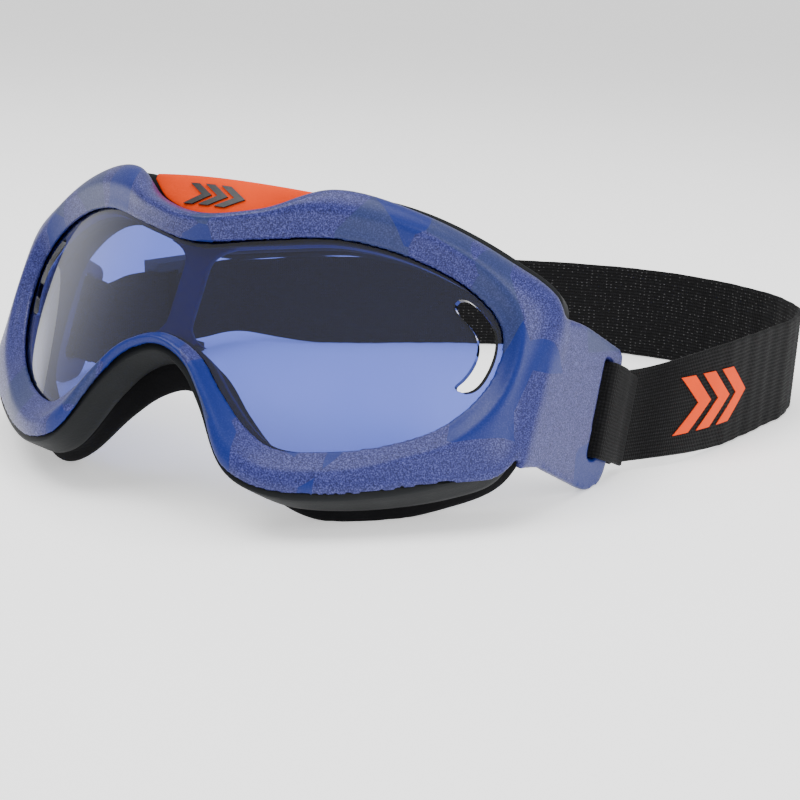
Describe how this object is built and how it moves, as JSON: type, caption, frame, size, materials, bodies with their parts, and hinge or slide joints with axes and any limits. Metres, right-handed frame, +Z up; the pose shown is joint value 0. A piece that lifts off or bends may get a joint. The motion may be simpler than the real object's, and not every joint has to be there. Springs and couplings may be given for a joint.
{
  "type": "sports protective goggles",
  "caption": "Wraparound sports goggles: tinted lens in a raised bezel with brow insert, soft face cushion, slotted ears and an elastic head strap that swings and adjusts.",
  "frame": {"origin": "middle of the footprint on the table: x and y at the middle of the overall box, z = 0 on the table top", "axes": "-Y is the way the wearer faces, +Y runs back along the strap, +X is the wearer's left, +Z up from the table"},
  "size_m": [0.2176, 0.2304, 0.0811],
  "materials": {
    "shell_blue": "semi-gloss speckled blue with lighter and darker patches",
    "lens_tint": "glossy clear lens with a blue-violet tint",
    "seal_black": "matte",
    "inner_blue": "satin",
    "flange_grey": "satin",
    "cushion_black": "matte foam with a soft skin",
    "insert_orange": "matte",
    "emblem_black": "satin",
    "screw_steel": "brushed",
    "webbing_black": "ribbed elastic webbing",
    "patch_orange": "matte printed patch",
    "slider_black": "fine grain"
  },
  "bodies": {
    "root": {"frame_shell": "shell_blue", "lens": "lens_tint", "lens_seal": "seal_black", "inner_frame": "inner_blue", "gasket_flange": "flange_grey", "face_cushion": "cushion_black", "brow_insert": "insert_orange", "brow_emblem": "emblem_black", "flange_screw_1": "screw_steel", "flange_screw_2": "screw_steel", "flange_screw_3": "screw_steel", "flange_screw_4": "screw_steel", "flange_screw_5": "screw_steel", "flange_screw_6": "screw_steel", "strap_loop_left": "webbing_black", "strap_loop_right": "webbing_black"},
    "strap": {"strap_band": "webbing_black", "strap_patch": "patch_orange"},
    "slider": {"strap_slider": "slider_black", "slider_keeper": "webbing_black"}
  },
  "joints": [
    {"name": "strap_swing", "type": "hinge", "parent": "root", "child": "strap", "pos_m": [0, -0.02053, 0.01863], "axis": [1, 0, 0], "range_deg": [-45, 40]},
    {"name": "slider_slide", "type": "slide", "parent": "strap", "child": "slider", "axis": [0.2756, 0.9613, 0], "range_m": [-0.006, 0.009]}
  ]
}
